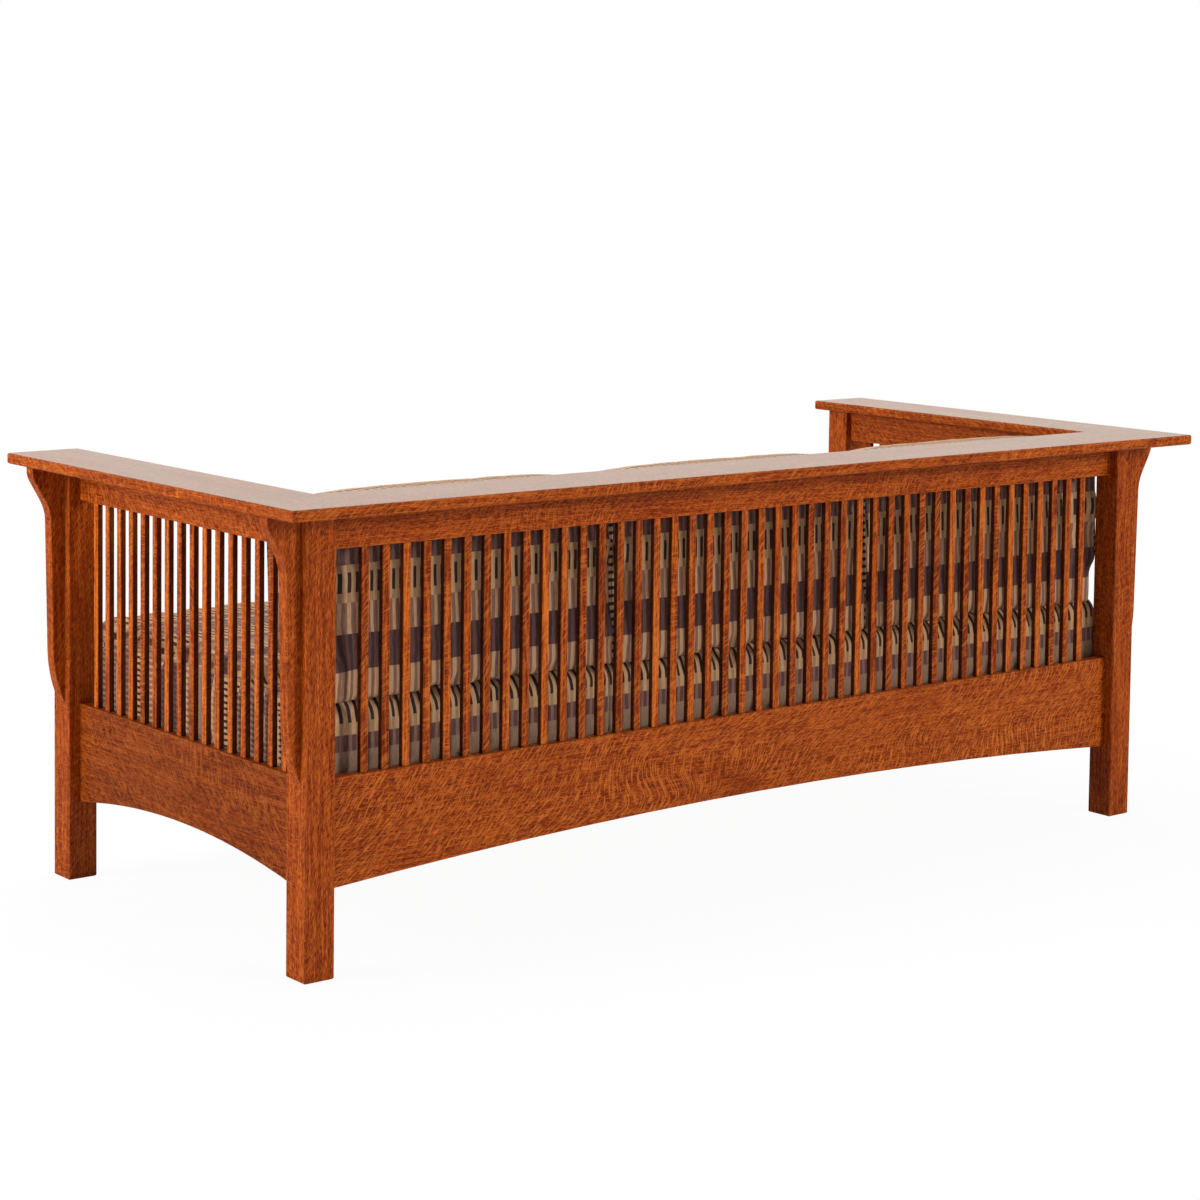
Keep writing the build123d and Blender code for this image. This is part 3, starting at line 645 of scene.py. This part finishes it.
# %% Make the kinds
def make_kind(half, rounds, crown_of, draw, cells, most, seed, end_round=0.008, belly=0.0,
              sag=0.0, hump=0.0, fall=0.0, calm=0.0):
    """One stuffed cover about its own middle: its points, quads, cloth map, seams and foot.
    Slack in the cloth is a little noise of long waves, added before the stuffing. calm is the
    share of the stuffing's moves that the high y edge does without. Last, that edge bows: up
    by hump in the middle and down by fall at both ends."""
    places, quads, sides = block_skin(cells)
    half = np.array(half)
    points = cushion_points(places, half - (0.001, 0.001, 0.0), rounds, crown_of, draw,
                            end_round, belly, sag)
    rim = np.abs(places[:, 1:]).max(1) > 0.999
    seams = [np.flatnonzero(rim & (end * places[:, 0] > 0.999)) for end in (-1, 1)]
    waves = np.random.default_rng(seed).normal(0, 1, (6, 3))
    slack = sum(np.sin(points @ wave * 28 + wave.sum() * 5) for wave in waves) / 6
    loose = np.ones(len(points), bool)
    loose[np.concatenate(seams)] = False
    points[loose] *= (1 + 0.004 * slack[loose, None])
    puffed = stuffed(points, quads, np.concatenate(seams), most)
    firm = (calm * ramp(points[:, 1] / half[1], 0.62, 0.92))[:, None]
    puffed = puffed * (1 - firm) + points * firm
    puffed[:, 0] = np.clip(puffed[:, 0], -half[0], half[0])
    puffed[:, 1] = np.clip(puffed[:, 1], -half[1] - sag, half[1])
    top = 2 * half[2] * crown_of(np.clip(puffed[:, 0] / half[0], -1, 1),
                                 np.clip(puffed[:, 1] / half[1], -1, 1))
    puffed[:, 2] = np.clip(puffed[:, 2], -belly, top)
    bow = hump - (hump + fall) * np.clip(np.abs(puffed[:, 0] / half[0]), 0, 1) ** 6
    puffed[:, 1] += bow * ramp(puffed[:, 1] / half[1], 0.2, 1.0)
    angle = [np.arctan2(points[seam, 2] - half[2], points[seam, 1]) for seam in seams]
    seams = [seam[np.argsort(turn)] for seam, turn in zip(seams, angle)]
    foot = np.flatnonzero((places[:, 1] > 0.999) & (places[:, 2] < -0.999))
    print("cover", np.round(half * 2000), "mm:", len(quads), "quads")
    return puffed, quads, cloth_map(places, quads, sides, half, crown_of), seams, foot


def seat_crown(share_x, share_y):
    """Almost flat, rounded down at the ends, and pressed down at the rear."""
    return crown(share_x, share_y, dome=0.02, over_end=(0.138, 0.26),
                 low_edge=(0.0, 1.0, 1.0), high_edge=(0.0, 1.0, 1.0), dip=(0.228, 0.40, 0.54))


def back_crown(share_x, share_y):
    """Rounded down on all four sides."""
    return crown(share_x, share_y, dome=0.05, over_end=(0.40, 0.30),
                 low_edge=(0.62, 0.44, 2.0), high_edge=(0.62, 0.40, 2.0), dip=(0.0, 0.0, 1.0))


END_SEAT, WIDE_SEAT = 0.304, 0.324  # half widths of an outer and the middle seat cushion
SEAT_DEPTH, SEAT_HEIGHT = 0.382, 0.081  # half of each
BACK_WIDTH, BACK_HEIGHT, BACK_THICKNESS = 0.3061, 0.163, 0.086  # half of each
seat_rounds, back_rounds = (0.012, 0.012, 0.042, 0.043), (0.010, 0.018, 0.050, 0.052)
seat_draw, back_draw = (0.005, 0.005), (0.002, 0.0)
end_seat = make_kind((END_SEAT, SEAT_DEPTH, SEAT_HEIGHT), seat_rounds, seat_crown, seat_draw,
                     cells=(50, 62, 15), most=0.009, seed=3)
wide_seat = make_kind((WIDE_SEAT, SEAT_DEPTH, SEAT_HEIGHT), seat_rounds, seat_crown,
                      seat_draw, cells=(54, 62, 15), most=0.009, seed=4)
back_kind = make_kind((BACK_WIDTH, BACK_HEIGHT, BACK_THICKNESS), back_rounds, back_crown,
                      back_draw, cells=(50, 28, 16), most=0.010, seed=5, end_round=0.012,
                      belly=0.008, sag=0.011, hump=0.0045, fall=0.014, calm=0.9)

# %% Set them in the settle
SEAT_Y = -0.039  # the middle of the seat cushions' depth
SEAT_BASE = 0.3144  # height of the seat cushions' base, on the deck pad
BACK_FOOT = 0.43996  # height of the back cushions' foot, on the pressed seat cushions
CAP_Y, CAP_Z = 0.3176, 0.758  # y of their rear faces at the cap's underside, and its height
LEAN = math.radians(2.5)
BACK_X = 0.6135  # how far the outer back cushions stand from the middle one
PLAY = 0.001  # between two seat cushions
SAG_ROOM = 0.003  # how far the back cushions are raised above BACK_FOOT, because they sag
END_ZONE = (0.85, 0.915)  # distance from the settle's middle over which its ends begin
END_CORD, FOOT_CORD = 0.0031, 0.0028  # radii of the welts


def set_cushion(name, node, body, kind, place, material, flip, spread, spread_from):
    """Places one cover and its welts, mirrored end for end where flip is -1. At the ends of
    the settle the soft cover fills the corner: from END_ZONE outwards it spreads back by the
    second part of spread, and outwards by the first, past (axis, from, to) up or back. The
    frame would squeeze these ends while a cushion slides out, which isn't shown."""
    points, quads, cloth, seams, foot = kind
    put = np.column_stack([points * (flip, 1, 1), np.ones(len(points))]) @ np.array(place).T
    put = put[:, :3]
    axis, low, high = spread_from
    share = ramp(np.abs(put[:, 0]), *END_ZONE)
    put[:, 0] += spread[0] * np.sign(put[:, 0]) * share * ramp(put[:, axis], low, high)
    put[:, 1] += spread[1] * share
    turned = quads if flip > 0 else quads[:, ::-1]
    cloth = cloth if flip > 0 else cloth[:, ::-1]
    cover = skin_object(name + "_cover", put, turned, material, cloth)
    smooth = cover.modifiers.new("smoother", "SUBSURF")
    smooth.levels = smooth.render_levels = 1
    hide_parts(node)
    welts = [welt(f"{name}_end_welt_{end}", put[seam], True, END_CORD, material)
             for end, seam in enumerate(seams)]
    welts.append(welt(f"{name}_foot_welt", put[foot], False, FOOT_CORD, material))
    for piece in (cover, *welts):
        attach(piece, body)


seat_x = WIDE_SEAT + PLAY + END_SEAT
for name, x, kind, flip in (("left", -seat_x, end_seat, 1), ("middle", 0.0, wide_seat, 1),
                            ("right", seat_x, end_seat, -1)):
    place = Matrix.Translation((x, SEAT_Y, SEAT_BASE))
    set_cushion(name + "_seat", name + "_seat_cushion", name + "_seat", kind, place,
                seat_cloth, flip, spread=(0.010, 0.0), spread_from=(1, -0.36, -0.30))

up = Vector((0, -math.sin(LEAN), math.cos(LEAN)))
forward = Vector((0, -math.cos(LEAN), -math.sin(LEAN)))
turn = Matrix((up.cross(forward), up, forward)).transposed().to_4x4()
for name, x, flip in (("left", -BACK_X, 1), ("middle", 0.0, -1), ("right", BACK_X, -1)):
    foot = Vector((x, CAP_Y + (CAP_Z - BACK_FOOT) * math.tan(LEAN), BACK_FOOT))
    place = Matrix.Translation(foot + up * (BACK_HEIGHT + SAG_ROOM)) @ turn
    set_cushion(name + "_back", name + "_back_cushion", name + "_back", back_kind, place,
                back_cloth, flip, spread=(0.0255, 0.014), spread_from=(2, 0.501, 0.522))
print("six cushions set")

# %% [markdown]
# ## Floor and light
# The photograph has no floor line and almost no shadow, so floor and sky are both white to
# the camera. In reflections only the backdrop beyond the settle is white, and the floor and
# the rest of the room are darker. The floor keeps a share of its own shading, which leaves a
# faint shadow under the settle. The light on the wood is plain: a soft sky, a large lamp for
# the near end, a smaller one far behind the settle that casts the spindles' shadows on the
# cloth, and soft ones for the top and the front.

# %% White studio
def studio_floor():
    """A plain pale disc, 60 m across: rings of points round the middle one."""
    radii, spokes = (0.5, 2, 6, 14, 30), 64
    turn = np.linspace(0, 2 * np.pi, spokes + 1)[:-1]
    rings = [np.stack([radius * np.cos(turn), radius * np.sin(turn), 0 * turn], 1)
             for radius in radii]
    points = np.concatenate([[[0, 0, 0]], *rings])
    number = np.arange(1, len(points)).reshape(len(radii), spokes)
    after = np.roll(number, -1, 1)
    quads = np.stack([number[:-1], number[1:], after[1:], after[:-1]], -1).reshape(-1, 4)
    middle = np.stack([0 * number[0], number[0], after[0]], 1)
    mesh = bpy.data.meshes.new("floor")
    mesh.from_pydata(points.tolist(), [], quads.tolist() + middle.tolist())
    floor = bpy.data.objects.new("floor", mesh)
    scene.collection.objects.link(floor)
    return floor


MIRRORED_FLOOR = 0.22  # brightness of the floor in reflections
SOFT_SKY = 0.38  # brightness of the sky as a light
BACKDROP = (-0.6, -0.8, 0.0)  # the level way past the settle, as the camera looks

floor_mix = Recipe("studio_floor")
seen, mirrored, through = floor_mix.node("ShaderNodeLightPath", output=(
    "Is Camera Ray", "Is Glossy Ray", "Is Transmission Ray"))
eye = seen.maths("MAXIMUM", seen, through)
matt = floor_mix.node("ShaderNodeBsdfDiffuse", {}, {"Color": (0.80, 0.79, 0.78, 1)})
glow = floor_mix.node("ShaderNodeEmission", {}, {"Strength": 1.0})
away = floor_mix.node("ShaderNodeVectorMath", {"operation": "LENGTH"}, (floor_mix.point,),
                      output="Value")
floor = studio_floor()
plain = floor_mix.node("ShaderNodeMixShader", {}, (
    eye * floor_mix.step(away, 1.2, 3.2, 0.95, 1.0), matt, glow))
dim = floor_mix.node("ShaderNodeEmission", {}, {"Strength": MIRRORED_FLOOR})
floor.data.materials.append(floor_mix.finish(floor_mix.node(
    "ShaderNodeMixShader", {}, (mirrored, plain, dim))))

sky = Recipe("white_studio", bpy.data.worlds)
seen, mirrored, through = sky.node("ShaderNodeLightPath", output=(
    "Is Camera Ray", "Is Glossy Ray", "Is Transmission Ray"))
beyond = sky.node("ShaderNodeVectorMath", {"operation": "DOT_PRODUCT"},
                  (sky.point, BACKDROP), output="Value")
white = seen.maths("MAXIMUM", seen, through)
white = white.maths("MAXIMUM", white, mirrored * sky.step(beyond, 0.55, 0.92, 0.2, 1.0))
tint = sky.blend(mirrored, (1, 1, 1, 1), (1, 0.96, 0.86, 1))
scene.world = sky.finish(sky.node("ShaderNodeBackground", {}, {
    "Color": tint, "Strength": white.maths("MAXIMUM", white, SOFT_SKY)}),
    "ShaderNodeOutputWorld")


def lamp(name, place, target, size, power):
    """A soft square lamp at place, turned to the target; power in watts. Reflections show
    the studio, not the lamp."""
    light = bpy.data.lights.new(name, "AREA")
    light.shape, light.size, light.energy = "SQUARE", size, power
    made = bpy.data.objects.new(name, light)
    scene.collection.objects.link(made)
    toward = Vector(target) - Vector(place)
    made.rotation_euler = toward.to_track_quat("-Z", "Y").to_euler()
    made.location = place
    made.visible_glossy = False


lamp("left_end_lamp", (5.4, -1.4, 2.2), (0.4, 0, 0.4), 2.4, 258)
lamp("behind_lamp", (-4.8, 8.8, 3.6), (1.2, 0, 0.4), 1.8, 610)
lamp("overhead_lamp", (0, -0.4, 4.2), (0, 0, 0.4), 3.0, 120)
lamp("front_lamp", (-2.4, -5.4, 2.4), (0, 0, 0.4), 3.0, 160)
scene.view_settings.view_transform = "Standard"
print("studio lit")
